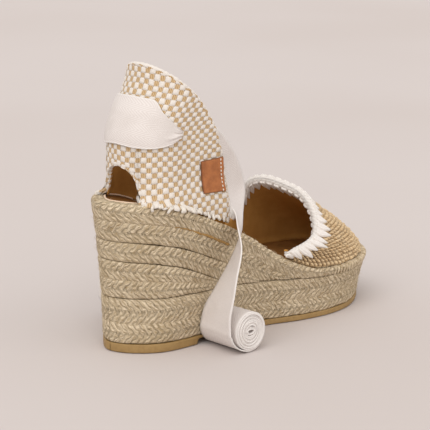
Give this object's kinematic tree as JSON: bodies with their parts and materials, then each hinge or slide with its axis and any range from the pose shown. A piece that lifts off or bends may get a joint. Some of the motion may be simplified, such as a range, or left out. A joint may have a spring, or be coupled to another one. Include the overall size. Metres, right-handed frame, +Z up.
{
  "type": "wedge espadrille sandal",
  "caption": "Right wedge espadrille with a jute-wrapped heel, crocheted closed toe, woven heel tab with an arched cut-out and rolled ribbon ties.",
  "frame": {"origin": "on the floor under the middle of the sole's length, on the shoe's centre plane", "axes": "+X to the toe, +Z up, -Y to the outer side of the foot"},
  "size_m": [0.2377, 0.1324, 0.1873],
  "materials": {
    "rubber": "matte ochre crepe rubber",
    "cork": "raw granulated cork",
    "board": "pressed fibre board",
    "foam": "open-cell foam",
    "suede": "brushed tan suede",
    "jute": "coarse braided jute, matte",
    "check_fabric": "thick two-colour basket weave of white and tan cotton",
    "cotton": "soft twisted cotton cord",
    "leather": "smooth cognac leather",
    "raffia": "crocheted paper raffia, slightly glossy strands",
    "ribbon": "herringbone cotton twill tape"
  },
  "bodies": {
    "shoe": {"outsole_rubber": "rubber", "wedge_core": "cork", "insole_board": "board", "insole_foam": "foam", "sock_liner": "suede", "base_braid_lower": "jute", "base_braid_upper": "jute", "wedge_braid_lower": "jute", "wedge_braid_middle": "jute", "wedge_braid_upper": "jute", "rim_braid_lower": "jute", "rim_braid_upper": "jute", "counter_fabric": "check_fabric", "counter_lining": "suede", "counter_top_hem": "cotton", "arch_hem": "cotton", "leather_label": "leather", "vamp_raffia": "raffia", "vamp_lining": "suede", "vamp_edging": "cotton", "ribbon_heel_loop": "ribbon", "ribbon_upper_lateral": "ribbon", "ribbon_upper_medial": "ribbon"},
    "lateral_tail": {"ribbon_tail_lateral": "ribbon", "ribbon_roll_lateral": "ribbon"},
    "medial_tail": {"ribbon_tail_medial": "ribbon", "ribbon_roll_medial": "ribbon"}
  },
  "joints": [
    {"name": "lateral_ribbon_swing", "type": "hinge", "parent": "shoe", "child": "lateral_tail", "pos_m": [-0.0321, -0.0399, 0.0799], "axis": [-0.7564, -0.6484, 0.0861], "range_deg": [0, 90]},
    {"name": "medial_ribbon_swing", "type": "hinge", "parent": "shoe", "child": "medial_tail", "pos_m": [-0.0321, 0.0399, 0.0799], "axis": [0.7564, -0.6484, -0.0861], "range_deg": [0, 90]}
  ]
}
